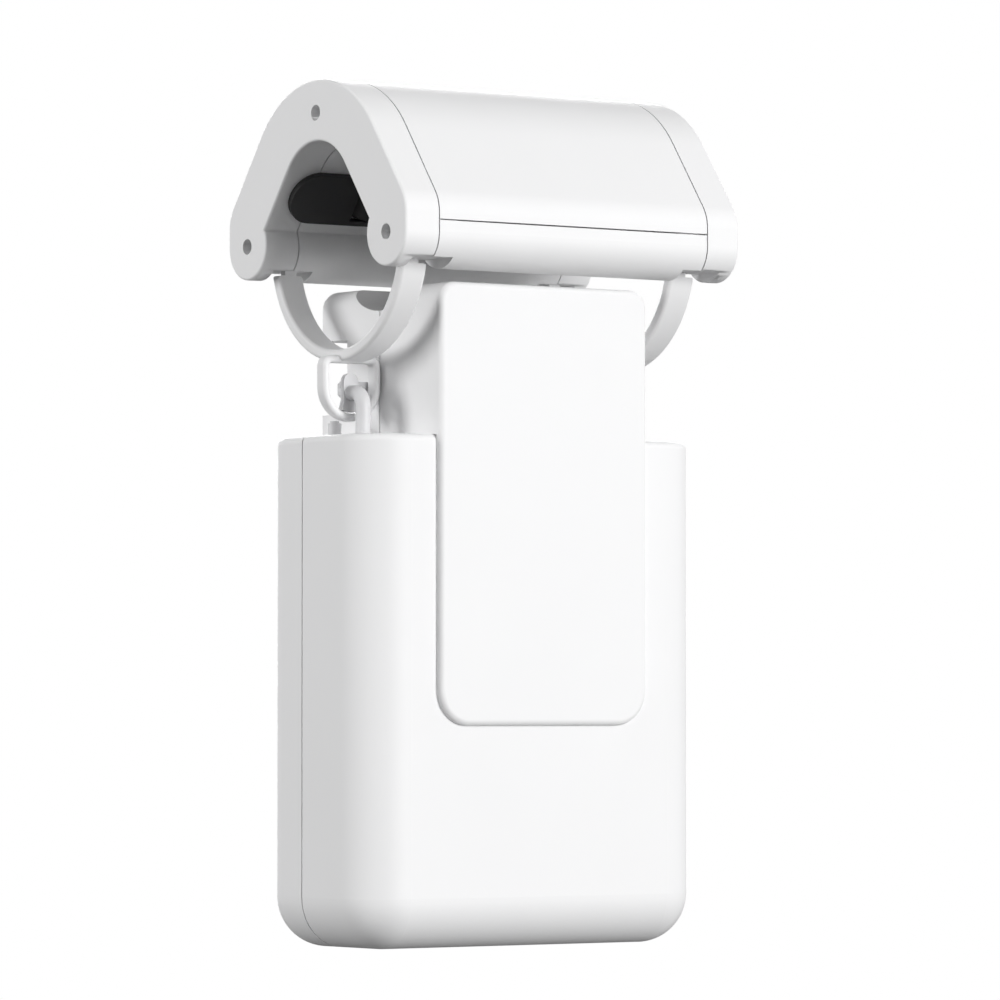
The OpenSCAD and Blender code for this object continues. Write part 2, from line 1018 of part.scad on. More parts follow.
// Keeper behind the eye: a bar with cut corners.
module keeper_face() {
    low = -6.7;
    high = 0.8;
    cut = 0.6;
    top = arm_z + 0.9 + keeper_h / 2;
    bottom = top - keeper_h;
    polygon([[low + cut, bottom], [high - cut, bottom], [high, bottom + cut], [high, top - cut],
        [high - cut, top], [low + cut, top], [low, top - cut], [low, bottom + cut]]);
}

// The right hook: leg, bend, arm and tab in front, guide post behind, and the bridge inside the body.
module hook() {
    color("White")
        translate([hook_x, 0, 0]) {
            z_pin(bridge_top - 1, arm_z - bend_r, 0, leg_y, leg_r);
            translate([0, leg_y + bend_r, arm_z - bend_r])
                rotate([90, 0, 90])
                    rotate([0, 0, 90])
                        rotate_extrude(angle = 90)
                            translate([bend_r, 0])
                                circle(leg_r);
            y_pin(leg_y + bend_r, tab_y + 0.2, 0, arm_z, leg_r);
            y_prism(tab_y, tab_y + tab_t)
                hook_tab();
            y_pin(tab_y + 0.2, keeper_y + 0.2, 0, arm_z + 0.4, 1.1);
            y_prism(keeper_y, keeper_y + keeper_t)
                keeper_face();
            z_pin(bridge_top - 1, post_top - 0.5, 0, post_y, post_r);
            z_pin(bridge_top, post_top, 0, post_y, post_r - 0.5);
            box([-2.6, leg_y - 2.4, bridge_top - bridge_t], [2.6, post_y + 2.2, bridge_top]);
        }
}

module hook_left() {
    mirrored_x(true)
        hook();
}

module hook_right() {
    hook();
}

// A coil as one closed tube, its ends flat to the rest of the coil.
module coil(radius, wire, turns, length) {
    per_turn = 16;
    sides = 8;
    steps = turns * per_turn;
    rise = length - wire;
    points = [for (i = [0:steps], k = [0:sides - 1])
        let (a = 360 * i / per_turn, b = 360 * k / sides, r = radius + wire / 2 * cos(b))
            [r * cos(a), r * sin(a), wire / 2 + rise * i / steps + wire / 2 * sin(b)]];
    rings = [for (i = [0:steps - 1], k = [0:sides - 1])
        let (n = (k + 1) % sides)
            [i * sides + k, (i + 1) * sides + k, (i + 1) * sides + n, i * sides + n]];
    first = [for (k = [0:sides - 1]) k];
    last = [for (k = [sides - 1:-1:0]) steps * sides + k];
    echo(coil_gap = rise / turns - wire);
    polyhedron(points, concat(rings, [first], [last]), convexity = 10);
}

module hook_spring() {
    color("Silver")
        translate([hook_x, leg_y, spring_bottom])
            coil(spring_r, spring_wire, spring_turns, spring_top - spring_bottom);
}

module spring_left() {
    mirrored_x(true)
        hook_spring();
}

module spring_right() {
    hook_spring();
}

// Drive

function involute_angle(r, base) = r <= base ? 0 : sqrt(pow(r / base, 2) - 1) * 180 / PI - acos(base / r);

// Turn of a gear whose tooth gap meets a tooth of the first gear, in the direction from the first gear.
function mesh_phase(phase, teeth, other_teeth, dir) =
    dir + 180 - (phase - dir) * teeth / other_teeth + 180 / other_teeth;

// Involute gear outline, 20 degree pressure angle, with a tooth at the given angle.
module gear_face(teeth, phase) {
    pitch = gear_m * teeth / 2;
    base = pitch * cos(20);
    tip = pitch + 0.8 * gear_m;
    root = pitch - 1.1 * gear_m;
    half = 90 / teeth - backlash / 2 / pitch * 90 / PI + involute_angle(pitch, base);
    start = max(base, root);
    radii = [for (i = [0:4]) start + (tip - start) * i / 4];
    flank = concat([[root, half]], [for (r = radii) [r, half - involute_angle(r, base)]]);
    count = len(flank);
    polygon([for (t = [0:teeth - 1], i = [0:2 * count - 1])
        let (rising = i < count, p = flank[rising ? i : 2 * count - 1 - i],
            a = phase + 360 * t / teeth + (rising ? -p[1] : p[1]))
            p[0] * [cos(a), sin(a)]]);
}

module drive_frame() {
    inner_x = frame_x - frame_wall;
    low = body_top + 0.5;
    plate_top = axle_z + 6;
    color("LightSlateGray")
        difference() {
            union() {
                for (s = [-1, 1]) {
                    box([s > 0 ? inner_x : -frame_x, -plate_y - plate_t, low],
                        [s > 0 ? frame_x : -inner_x, plate_y + plate_t, axle_z + 4]);
                }
                box([-frame_x, plate_y, low], [frame_x, plate_y + plate_t, plate_top]);
                box([-frame_x, -plate_y - plate_t, low], [frame_x, -plate_y, plate_top]);
                box([-motor_r - 2, -plate_y - plate_t, motor_z - motor_r - 1],
                    [motor_r + 2, -plate_y, low + 1]);
            }
            for (s = [-1, 1]) {
                y_pin(-20, 20, s * wheel_x, axle_z, shaft_r + fit);
                y_pin(-20, 0, s * motor_screw_x, motor_z, 1.3);
            }
            y_pin(-20, 0, 0, gear_z, gear_pin_r);
            y_pin(-20, 0, 0, motor_z, motor_boss_r + 0.1);
            y_pin(0, 20, 0, motor_z, motor_r + 0.5);
        }
}

// Hub and shaft of one drive wheel.
module wheel_hub(side) {
    color("WhiteSmoke")
        translate([side * wheel_x, 0, axle_z]) {
            y_pin(-tyre_half, tyre_half, 0, 0, hub_r);
            y_pin(small_y0 - 0.1, plate_y + plate_t - 0.1, 0, 0, shaft_r);
        }
}

// Rubber tyre with a groove that fits the rod.
module wheel_tyre(side) {
    color("Black")
        translate([side * wheel_x, 0, axle_z])
            rotate([-90, 0, 0])
                rotate_extrude()
                    difference() {
                        translate([hub_r, -tyre_half])
                            square([tyre_r - hub_r, 2 * tyre_half]);
                        translate([-axle_z, 0])
                            circle(rod_r, $fn = 128);
                    }
}

module wheel_gear(side, phase) {
    color("Gainsboro")
        translate([side * wheel_x, 0, axle_z])
            difference() {
                y_prism(small_y0, small_y1)
                    gear_face(wheel_teeth, phase);
                y_pin(small_y0 - 1, small_y1 + 1, 0, 0, shaft_r);
            }
}

module wheel_hub_left() {
    wheel_hub(-1);
}

module wheel_hub_right() {
    wheel_hub(1);
}

module wheel_tyre_left() {
    wheel_tyre(-1);
}

module wheel_tyre_right() {
    wheel_tyre(1);
}

module wheel_gear_left() {
    wheel_gear(-1, left_phase);
}

module wheel_gear_right() {
    wheel_gear(1, right_phase);
}

module reduction_gear() {
    color("Gainsboro")
        translate([0, 0, gear_z])
            difference() {
                union() {
                    y_prism(big_y0, big_y1)
                        gear_face(big_teeth, big_phase);
                    y_pin(big_y1 - 0.1, small_y0 + 0.1, 0, 0, 5);
                    y_prism(small_y0, small_y1)
                        gear_face(small_teeth, small_phase);
                }
                y_pin(big_y0 - 1, small_y1 + 1, 0, 0, gear_pin_r + fit);
            }
}

module gear_pin() {
    color("Silver")
        y_pin(big_y0 - 0.2, -plate_y, 0, gear_z, gear_pin_r);
}

module motor() {
    front = -plate_y;
    color("Silver")
        difference() {
            union() {
                y_pin(front, front + motor_len, 0, motor_z, motor_r);
                y_pin(front - 2.2, front + 1, 0, motor_z, motor_boss_r);
                y_pin(front + motor_len - 1, front + motor_len + 1.6, 0, motor_z, 4);
            }
            y_pin(front - 3, front + 14, 0, motor_z, motor_shaft_r + fit);
            for (s = [-1, 1]) {
                y_pin(front - 1, front + 3.4, s * motor_screw_x, motor_z, 1.05);
            }
        }
}

module motor_screws() {
    front = -plate_y - plate_t;
    color("Silver")
        for (s = [-1, 1]) {
            y_pin(front - 1.4, front, s * motor_screw_x, motor_z, 2.2);
            y_pin(front - 0.1, front + 4.4, s * motor_screw_x, motor_z, 1);
        }
}

module motor_pinion() {
    color("Goldenrod")
        translate([0, 0, motor_z]) {
            y_prism(big_y0, big_y1)
                gear_face(pinion_teeth, pinion_phase);
            y_pin(big_y0 - 0.2, 5, 0, 0, motor_shaft_r);
        }
}

// Battery, circuit board and controls

module at_cells() {
    for (s = [-1, 1]) {
        translate([s * cell_x, cell_y, cell_z])
            children();
    }
}

module battery_cells() {
    color("SteelBlue")
        at_cells() {
            cylinder(r = cell_r, h = cell_len - 1.2);
            cylinder(r = 3, h = cell_len);
        }
}

module battery_tray() {
    end_t = 1.3;
    front = -body_d / 2;
    low = cell_z - 0.1 - end_t;
    high = cell_z + cell_len + 0.1;
    color("DarkSlateGray")
        difference() {
            intersection() {
                union() {
                    box([-tray_x, tray_y, low], [tray_x, tray_y + tray_t, high + end_t]);
                    box([-tray_x, front, low], [tray_x, tray_y + 1, low + end_t]);
                    box([-tray_x, front, high], [tray_x, tray_y + 1, high + end_t]);
                    for (f = [0.2, 0.5, 0.8]) {
                        box([-tray_x, 0, cell_z + cell_len * f],
                            [tray_x, tray_y + 1, cell_z + cell_len * f + 2.5]);
                    }
                }
                round_block(wall + 0.1);
            }
            at_cells()
                cylinder(r = cell_r + 0.1, h = cell_len);
        }
}

module circuit_board() {
    rear = board_y + board_t;
    color("DarkGreen")
        difference() {
            union() {
                box([-board_x, board_y, board_z0], [board_x, rear, board_z1]);
                box([-3, rear - 0.1, button_z - 3], [3, rear + 2.7, button_z + 3]);
                box([-1.2, rear - 0.1, light_z - 0.8], [1.2, rear + 0.6, light_z + 0.8]);
                box([-9, rear - 0.1, light_z + 8], [9, rear + 2.4, light_z + 32]);
                box([14, rear - 0.1, light_z + 10], [21, rear + 1.2, light_z + 17]);
                box([-24, rear - 0.1, board_z1 - 26], [-13, rear + 4.5, board_z1 - 20]);
            }
            for (p = board_spots) {
                y_pin(board_y - 1, rear + 1, p[0], p[1], 1.1);
            }
        }
}

module board_screws() {
    color("Silver")
        for (p = board_spots) {
            y_pin(board_y - 1.3, board_y, p[0], p[1], 1.9);
            y_pin(board_y - 0.1, board_y + board_t + 5, p[0], p[1], 0.8);
        }
}

// Upright block with rounded ends, the outline of the charging inlet.
module inlet_block(grow, z0, z1) {
    half = (inlet_w - inlet_h) / 2;
    r = inlet_h / 2 + grow;
    translate([0, inlet_y, z0])
        linear_extrude(z1 - z0) {
            square([2 * half, 2 * r], center = true);
            for (s = [-1, 1]) {
                translate([s * half, 0])
                    circle(r);
            }
        }
}

module charging_inlet() {
    color("Silver") {
        difference() {
            inlet_block(0, body_bottom + 0.3, board_z0 + 2);
            inlet_block(-0.35, body_bottom - 1, board_z0 - 0.6);
        }
        box([-3.2, inlet_y - 0.35, body_bottom + 1], [3.2, inlet_y + 0.35, board_z0]);
    }
}

module button() {
    color("White") {
        y_pin(rear_in - 1, body_d / 2 + 0.5, 0, button_z, button_r);
        y_pin(rear_in - clear - 1.3, rear_in - clear, 0, button_z, button_r + 1.2);
        y_pin(board_y + board_t + 2.7 + button_travel + 0.35, rear_in - 1, 0, button_z, 1.6);
    }
}

module light_pipe() {
    color("Azure")
        y_pin(board_y + board_t + 0.7, body_d / 2, 0, light_z, light_r);
}

saddle_cover();
saddle_frame();
cap_left();
cap_right();
cap_screws();
carrier_front();
carrier_rear();
roller_pins();
roller_front_left();
roller_front_right();
roller_rear_left();
roller_rear_right();
strap_left();
strap_right();
front_panel();
rear_panel();
front_shell();
rear_shell();
shell_screws();
hook_guides();
hook_left();
hook_right();
spring_left();
spring_right();
drive_frame();
wheel_hub_left();
wheel_hub_right();
wheel_tyre_left();
wheel_tyre_right();
wheel_gear_left();
wheel_gear_right();
reduction_gear();
gear_pin();
motor();
motor_screws();
motor_pinion();
battery_cells();
battery_tray();
circuit_board();
board_screws();
charging_inlet();
button();
light_pipe();
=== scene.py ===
"""Looks for a motorised curtain opener, built round its CAD frame.

The file is laid out as a Blender add-on and is run as a script. Every piece is in metres in the CAD frame:
X runs from the left end cap to the right one, the front panel faces -Y and Z is up.
"""

import json
import math

import bmesh
import bpy
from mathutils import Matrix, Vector


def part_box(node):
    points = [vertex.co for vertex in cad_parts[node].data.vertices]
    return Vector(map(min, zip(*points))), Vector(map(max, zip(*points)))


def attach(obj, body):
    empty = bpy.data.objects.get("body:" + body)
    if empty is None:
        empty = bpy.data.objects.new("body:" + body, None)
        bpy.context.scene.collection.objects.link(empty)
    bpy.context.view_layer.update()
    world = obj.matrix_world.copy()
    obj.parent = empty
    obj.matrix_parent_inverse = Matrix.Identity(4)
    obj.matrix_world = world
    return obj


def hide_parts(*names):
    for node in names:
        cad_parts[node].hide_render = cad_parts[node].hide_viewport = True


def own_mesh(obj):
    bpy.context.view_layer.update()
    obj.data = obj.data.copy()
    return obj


bl_info = {
    "name": "Curtain Opener",
    "version": (1, 0, 0),
    "blender": (4, 5, 0),
    "location": "3D View > Sidebar > Curtain Opener",
    "description": "Finishes, soft edges and small repeated parts for a curtain opener on its CAD frame",
    "category": "Object",
}

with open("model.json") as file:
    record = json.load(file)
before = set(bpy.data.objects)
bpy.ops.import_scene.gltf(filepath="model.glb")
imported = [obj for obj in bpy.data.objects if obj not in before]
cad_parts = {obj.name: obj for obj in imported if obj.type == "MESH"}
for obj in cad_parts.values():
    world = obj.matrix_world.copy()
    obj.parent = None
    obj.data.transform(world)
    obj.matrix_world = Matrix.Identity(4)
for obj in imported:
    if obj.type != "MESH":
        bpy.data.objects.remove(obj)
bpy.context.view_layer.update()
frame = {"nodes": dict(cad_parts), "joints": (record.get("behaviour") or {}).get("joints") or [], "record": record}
RECORD = frame["record"]
BODY_OF = {node: body for body, nodes in RECORD["behaviour"]["bodies"].items() for node in nodes}

MM = 0.001
SIDES = ("left", "right")
# Meshes: the angle of a sharp edge, the angle between faces that are joined, and how near points are merged
SHARP = math.radians(32)
FLAT = math.radians(0.3)
WELD = 0.002 * MM
# End caps: steps of a rounded edge, slack in finding the end face, and the room kept round a screw hole
EDGE_STEPS = 4
END_SLACK = 0.01 * MM
CAP_HOLE_ROOM = 2.5 * MM
# Tyres: radius that the ribs come up to, bore, steps of the mesh, a rib's radius as a share of its height,
# and the angle by which a rib stops short of the tyre's side
ROD_RADIUS = 14 * MM
BORE_RADIUS = 6 * MM
GROOVE_STEPS = 16
TYRE_STEPS = 72
RIB_RADIUS_SHARE = 0.8
RIB_END_GAP = 0.03
# Springs and screws: turns that lie flat at each end, and the recess's width as a share of the head's radius
SPRING_END_TURNS = 0.9
RECESS_SHARE = 0.36
# Battery and board: height of a cell's bare cap, the board's thickness, and how far behind it parts turn dark
CELL_CAP = 2.2 * MM
BOARD_THICKNESS = 1.6 * MM
BOARD_CLEAR = 0.05 * MM
# Smooth mouldings
STRAP_GRAIN = 0.001 * MM
BUTTON_GRAIN = 0.002 * MM
BUTTON_ROUGHNESS = 0.32
# Stage
FLOOR_REACH = 8.0
FLOOR_GLOW = 0.97
SENSOR_WIDTH = 36.0
LAMP_AIM = Vector((0, 0, -0.06))
# Each group of screws: the way its heads face, head radius, shank radius and head height in millimetres
SCREWS = {
    "cap_screws": ((1, 0, 0), 1.5, 0.9, 1.3),
    "shell_screws": ((0, 1, 0), 2.3, 1.2, 1.6),
    "board_screws": ((0, -1, 0), 1.9, 0.8, 1.3),
    "motor_screws": ((0, -1, 0), 2.2, 1.0, 1.4),
}
# Each lamp: where it stands, its diameter and its power in watts
LAMPS = {
    "key_lamp": ((0.35, -1.9, 0.25), 1.2, 36.4),
    "right_lamp": ((1.7, -0.5, 0.3), 1.0, 2.4),
    "left_lamp": ((-1.7, 0.6, 0.3), 1.0, 18.4),
    "high_lamp": ((-1.4, -0.6, 1.1), 1.0, 2.8),
    "back_lamp": ((0.9, 1.6, 0.45), 1.0, 32.0),
}


# Node graphs


class Signal:
    """A number on a node socket. Python's operators on it add Math nodes."""

    def __init__(self, graph, socket):
        self.graph = graph
        self.socket = socket

    def _math(self, operation, first, second):
        return self.graph.node("ShaderNodeMath", {"operation": operation}, {0: first, 1: second})

    def __add__(self, other):
        return self._math("ADD", self, other)

    def __radd__(self, other):
        return self._math("ADD", other, self)

    def __sub__(self, other):
        return self._math("SUBTRACT", self, other)

    def __rsub__(self, other):
        return self._math("SUBTRACT", other, self)

    def __mul__(self, other):
        return self._math("MULTIPLY", self, other)

    def __rmul__(self, other):
        return self._math("MULTIPLY", other, self)

    def __truediv__(self, other):
        return self._math("DIVIDE", self, other)

    def __gt__(self, other):
        return self._math("GREATER_THAN", self, other)


class Graph:
    """Adds nodes to one node tree."""

    def __init__(self, tree):
        self.tree = tree

    def node(self, kind, settings=None, inputs=None, output=0):
        """Adds a node, sets its settings, then its inputs, and returns one of its outputs."""
        made = self.tree.nodes.new(kind)
        for name, value in (settings or {}).items():
            setattr(made, name, value)
        for key, value in (inputs or {}).items():
            self.feed(self.find(made.inputs, key), value)
        if not made.outputs:
            return None
        return Signal(self, self.find(made.outputs, output))

    def feed(self, socket, value):
        """Links a signal, or several in a list, to a socket, or sets its plain value."""
        if isinstance(value, list):
            for item in value:
                self.feed(socket, item)
        elif isinstance(value, Signal):
            self.tree.links.new(value.socket, socket)
        else:
            socket.default_value = value

    @staticmethod
    def find(sockets, key):
        """A socket by its identifier, or else by its name or its number."""
        for socket in sockets:
            if socket.identifier == key:
                return socket
        return sockets[key]


class Finish(Graph):
    """One procedural material on a Principled shader."""

    def __init__(self, name):
        self.material = bpy.data.materials.new(name)
        self.material.use_nodes = True
        super().__init__(self.material.node_tree)
        self.tree.nodes.clear()
        self.place = self.node("ShaderNodeTexCoord", output="Object")

    def axis(self, name):
        """One Object coordinate, in metres."""
        return self.node("ShaderNodeSeparateXYZ", None, {0: self.place}, name)

    def noise(self, size, detail=2.0, stretch=(1.0, 1.0, 1.0)):
        """Noise from 0 to 1 whose features are about this size, in metres."""
        scaled = self.node("ShaderNodeMapping", None, {"Vector": self.place, "Scale": stretch})
        return self.node("ShaderNodeTexNoise", None,
                         {"Vector": scaled, "Scale": 1 / size, "Detail": detail})

    def rings(self, direction, spacing):
        """Even waves along one axis, from 0 to 1."""
        return self.node("ShaderNodeTexWave", {"bands_direction": direction},
                         {"Vector": self.place, "Scale": math.pi / 10 / spacing})

    def mix(self, share, first, second):
        """A colour between two colours."""
        return self.node("ShaderNodeMix", {"data_type": "RGBA"},
                         {"Factor_Float": share, "A_Color": opaque(first), "B_Color": opaque(second)},
                         "Result_Color")

    def ease(self, value, low, high):
        """0 at low, 1 at high and smooth between them."""
        return self.node("ShaderNodeMapRange", {"interpolation_type": "SMOOTHSTEP"},
                         {"Value": value, "From Min": low, "From Max": high})

    def bump(self, height, depth):
        """A normal for relief of this depth, in metres."""
        return self.node("ShaderNodeBump", None, {"Height": height, "Distance": depth, "Strength": 1.0})

    def shade(self, values):
        """Ends the material in a Principled shader with these inputs."""
        shader = self.node("ShaderNodeBsdfPrincipled", None, values)
        self.node("ShaderNodeOutputMaterial", None, {"Surface": shader})
        return self.material


class Recipe(Graph):
    """A Geometry Nodes tree with named inputs, which ends in one plain mesh with one material."""

    def __init__(self, name, labels):
        super().__init__(bpy.data.node_groups.new(name, "GeometryNodeTree"))
        for label, kind in labels.items():
            self.tree.interface.new_socket(label, in_out="INPUT", socket_type="NodeSocket" + kind)
        self.tree.interface.new_socket("Geometry", in_out="OUTPUT", socket_type="NodeSocketGeometry")
        self.inputs = self.tree.nodes.new("NodeGroupInput")

    def input(self, label):
        """The value of one named input."""
        return Signal(self, self.inputs.outputs[label])

    def end(self, geometry, finish):
        """Realizes what was made, sets its material and puts it out."""
        real = self.node("GeometryNodeRealizeInstances", None, {"Geometry": geometry})
        smooth = self.node("GeometryNodeSetShadeSmooth", None, {"Geometry": real})
        painted = self.node("GeometryNodeSetMaterial", None, {"Geometry": smooth, "Material": finish})
        self.node("NodeGroupOutput", None, {"Geometry": painted})

    def make(self, start, values):
        """The plain mesh that the tree makes from a starting mesh with these input values."""
        holder = bpy.data.objects.new(self.tree.name, start)
        modifier = holder.modifiers.new(self.tree.name, "NODES")
        modifier.node_group = self.tree
        for item in self.tree.interface.items_tree:
            if item.in_out == "INPUT" and item.name in values:
                modifier[item.identifier] = values[item.name]
        return applied(holder)


def opaque(colour):
    """A colour with full alpha. A linked colour stays as it is."""
    return colour if isinstance(colour, Signal) else (*tuple(colour)[:3], 1.0)


def applied(holder):
    """The plain mesh that an object's modifiers make. The object itself goes."""
    bpy.context.scene.collection.objects.link(holder)
    ready = holder.evaluated_get(bpy.context.evaluated_depsgraph_get())
    mesh = bpy.data.meshes.new_from_object(ready)
    bpy.data.objects.remove(holder)
    return mesh


# Finishes


def moulded_plastic(name, colour, roughness, grain):
    """Satin injection moulding: a fine eroded grain, faint clouding and slightly uneven gloss."""
    finish = Finish(name)
    cloud = finish.noise(25 * MM, 3.0)
    touch = finish.noise(9 * MM, 4.0)
    pits = finish.noise(0.22 * MM, 1.0)
    shade = finish.mix(cloud, [0.975 * c for c in colour], colour)
    return finish.shade({
        "Base Color": shade,
        "Roughness": roughness - 0.05 + 0.1 * touch,
        "IOR": 1.47,
        "Normal": finish.bump(pits, grain),
    })


def black_rubber(name, colour):
    """Matt rubber with a fine sanded skin and paler dusty patches."""
    finish = Finish(name)
    dust = finish.ease(finish.noise(2.5 * MM, 4.0), 0.5, 0.75)
    skin = finish.noise(0.15 * MM, 2.0)
    return finish.shade({
        "Base Color": finish.mix(dust, colour, [2.2 * c for c in colour]),
        "Roughness": 0.62 + 0.2 * dust,
        "IOR": 1.5,
        "Normal": finish.bump(skin, 0.03 * MM),
    })


def drawn_metal(name, colour, roughness, stretch=(1.0, 1.0, 1.0)):
    """Bright metal with a fine grain, which a stretch turns into lines."""
    finish = Finish(name)
    lines = finish.noise(0.3 * MM, 3.0, stretch)
    stain = finish.noise(4 * MM, 2.0)
    return finish.shade({
        "Base Color": finish.mix(stain, [0.88 * c for c in colour], colour),
        "Metallic": 1.0,
        "Roughness": roughness - 0.06 + 0.16 * lines,
        "Normal": finish.bump(lines, 0.0003 * MM),
    })


def glass_filled_plastic(name, colour):
    """Dull technical plastic with short pale fibres under its skin."""
    finish = Finish(name)
    fibres = finish.ease(finish.noise(0.6 * MM, 2.0, (1.0, 4.0, 4.0)), 0.55, 0.8)
    skin = finish.noise(0.3 * MM, 2.0)
    return finish.shade({
        "Base Color": finish.mix(fibres, colour, [1.25 * c for c in colour]),
        "Roughness": 0.5 + 0.12 * skin,
        "Normal": finish.bump(skin, 0.015 * MM),
    })


def waxy_plastic(name, colour):
    """Natural gear plastic, waxy and slightly see-through."""
    finish = Finish(name)
    cloud = finish.noise(5 * MM, 3.0)
    skin = finish.noise(0.4 * MM, 2.0)
    return finish.shade({
        "Base Color": finish.mix(cloud, [0.95 * c for c in colour], colour),
        "Roughness": 0.32 + 0.1 * skin,
        "Subsurface Weight": 0.15,
        "Subsurface Scale": 0.5 * MM,
        "Normal": finish.bump(skin, 0.006 * MM),
    })


def motor_can(name):
    """Plated steel can with turning marks round its axis."""
    finish = Finish(name)
    marks = finish.rings("Y", 0.25 * MM)
    stain = finish.noise(6 * MM, 3.0)
    return finish.shade({
        "Base Color": finish.mix(stain, (0.52, 0.53, 0.55), (0.66, 0.66, 0.67)),
        "Metallic": 1.0,
        "Roughness": 0.3 + 0.1 * marks,
        "Normal": finish.bump(marks, 0.003 * MM),
    })


def cell_sleeve(name, top):
    """Shrunk sleeve on a battery cell, with the bare steel cap above it."""
    finish = Finish(name)
    bare = finish.axis("Z") > top
    crease = finish.noise(3 * MM, 3.0, (1.0, 1.0, 0.15))
    return finish.shade({
        "Base Color": finish.mix(bare, finish.mix(crease, (0.03, 0.12, 0.3), (0.05, 0.17, 0.38)),
                                 (0.62, 0.62, 0.6)),
        "Metallic": bare,
        "Roughness": 0.34 + 0.1 * crease,
        "Normal": finish.bump(crease, 0.05 * MM),
    })


def circuit_green(name, face):
    """Green lacquer over copper tracks, with dark housings on the parts behind its rear face."""
    finish = Finish(name)
    stripes = finish.ease(finish.rings("X", 1.3 * MM), 0.62, 0.7)
    patches = finish.ease(finish.noise(7 * MM), 0.48, 0.52)
    tracks = stripes * patches
    parts = finish.axis("Y") > face
    lacquer = finish.mix(tracks, (0.015, 0.11, 0.045), (0.05, 0.23, 0.09))
    return finish.shade({
        "Base Color": finish.mix(parts, lacquer, (0.02, 0.02, 0.022)),
        "Roughness": 0.3 + 0.25 * parts,
        "Normal": finish.bump(tracks, 0.02 * MM),
    })


def frosted_lens(name):
    """Milky clear plastic for the status light."""
    finish = Finish(name)
    frost = finish.noise(0.3 * MM, 3.0)
    return finish.shade({
        "Base Color": finish.mix(frost, (0.78, 0.83, 0.85), (0.88, 0.92, 0.93)),
        "Roughness": 0.18 + 0.2 * frost,
        "Subsurface Weight": 0.3,
        "Subsurface Scale": 0.8 * MM,
        "Normal": finish.bump(frost, 0.004 * MM),
    })


# Meshes


def welded(node):
    """A copy of a CAD node's mesh with its points merged and its flat areas joined into single faces."""
    shape = bmesh.new()
    shape.from_mesh(frame["nodes"][node].data)
    bmesh.ops.remove_doubles(shape, verts=shape.verts, dist=WELD)
    bmesh.ops.dissolve_limit(shape, angle_limit=FLAT, verts=shape.verts, edges=shape.edges)
    return shape


def solid_boxes(node):
    """The lowest and highest corner of each separate solid in a CAD node, from left to right."""
    shape = welded(node)
    left = set(shape.verts)
    boxes = []
    while left:
        front = [left.pop()]
        corners = []
        while front:
            vert = front.pop()
            corners.append(vert.co.copy())
            near = {edge.other_vert(vert) for edge in vert.link_edges} & left
            left -= near
            front.extend(near)
        low = Vector(min(corner[k] for corner in corners) for k in range(3))
        high = Vector(max(corner[k] for corner in corners) for k in range(3))
        boxes.append((low, high))
    shape.free()
    return sorted(boxes, key=lambda box: tuple(box[0]))


def soften(shape, radius, chosen):
    """Rounds the sharp edges that are chosen."""
    edges = [edge for edge in shape.edges
             if edge.is_manifold and edge.calc_face_angle() > SHARP and chosen(edge)]
    bmesh.ops.bevel(shape, geom=edges, offset=radius, offset_type="OFFSET", segments=EDGE_STEPS, profile=0.5,
                    affect="EDGES", clamp_overlap=False)


def plain_mesh(name, shape):
    """A smooth mesh from edited geometry, with crisp sharp edges."""
    mesh = bpy.data.meshes.new(name)
    shape.to_mesh(mesh)
    shape.free()
    mesh.shade_smooth()
    mesh.set_sharp_from_angle(angle=SHARP)
    return mesh


def level_mesh(name, shape):
    """A smooth mesh whose large faces stay level beside their rounded edges."""
    holder = bpy.data.objects.new(name, plain_mesh(name, shape))
    holder.modifiers.new("level", "WEIGHTED_NORMAL").keep_sharp = True
    return applied(holder)


def add_piece(mesh, finish, node):
    """Puts a mesh in the scene in place of a CAD node, on its body, with one finish."""
    mesh.materials.clear()
    mesh.materials.append(finish)
    piece = bpy.data.objects.new(node + "_finished", mesh)
    bpy.context.scene.collection.objects.link(piece)
    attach(piece, BODY_OF[node])
    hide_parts(node)
    return piece


def paint(finish, *nodes):
    """Gives CAD nodes that keep their own shape a finish."""
    for node in nodes:
        mesh = frame["nodes"][node].data
        mesh.materials.clear()
        mesh.materials.append(finish)


def points_mesh(name, places, directions):
    """Loose points, each with the direction in which its copy faces."""
    mesh = bpy.data.meshes.new(name)
    mesh.from_pydata(places, [], [])
    facing = mesh.attributes.new("direction", "FLOAT_VECTOR", "POINT")
    for item, direction in zip(facing.data, directions):
        item.vector = direction
    return mesh


# Repeated shapes


def coil_recipe(finish):
    """A round-wire coil along Z whose end turns lie flat, standing on the start mesh's only point."""
    recipe = Recipe("coil", {"Geometry": "Geometry", "Radius": "Float", "Wire": "Float", "Height": "Float",
                             "Turns": "Float", "Flat Share": "Float"})
    radius = recipe.input("Radius")
    wire = recipe.input("Wire")
    flat = recipe.input("Flat Share")
    path = recipe.node("GeometryNodeCurveSpiral", None, {
        "Resolution": 28, "Rotations": recipe.input("Turns"), "Start Radius": radius, "End Radius": radius,
        "Height": 0.0})
    along = recipe.node("GeometryNodeSplineParameter", None, None, "Factor")
    climb = recipe.node("ShaderNodeMapRange", None, {
        "Value": along, "From Min": flat, "From Max": 1 - flat, "To Min": wire / 2,
        "To Max": recipe.input("Height") - wire / 2})
    lift = recipe.node("ShaderNodeCombineXYZ", None, {"Z": climb})
    risen = recipe.node("GeometryNodeSetPosition", None, {"Geometry": path, "Offset": lift})
    round_wire = recipe.node("GeometryNodeCurvePrimitiveCircle", None, {"Resolution": 12, "Radius": wire / 2})
    tube = recipe.node("GeometryNodeCurveToMesh", None, {
        "Curve": risen, "Profile Curve": round_wire, "Fill Caps": True})
    recipe.end(recipe.node("GeometryNodeInstanceOnPoints", None, {
        "Points": recipe.input("Geometry"), "Instance": tube}), finish)
    return recipe


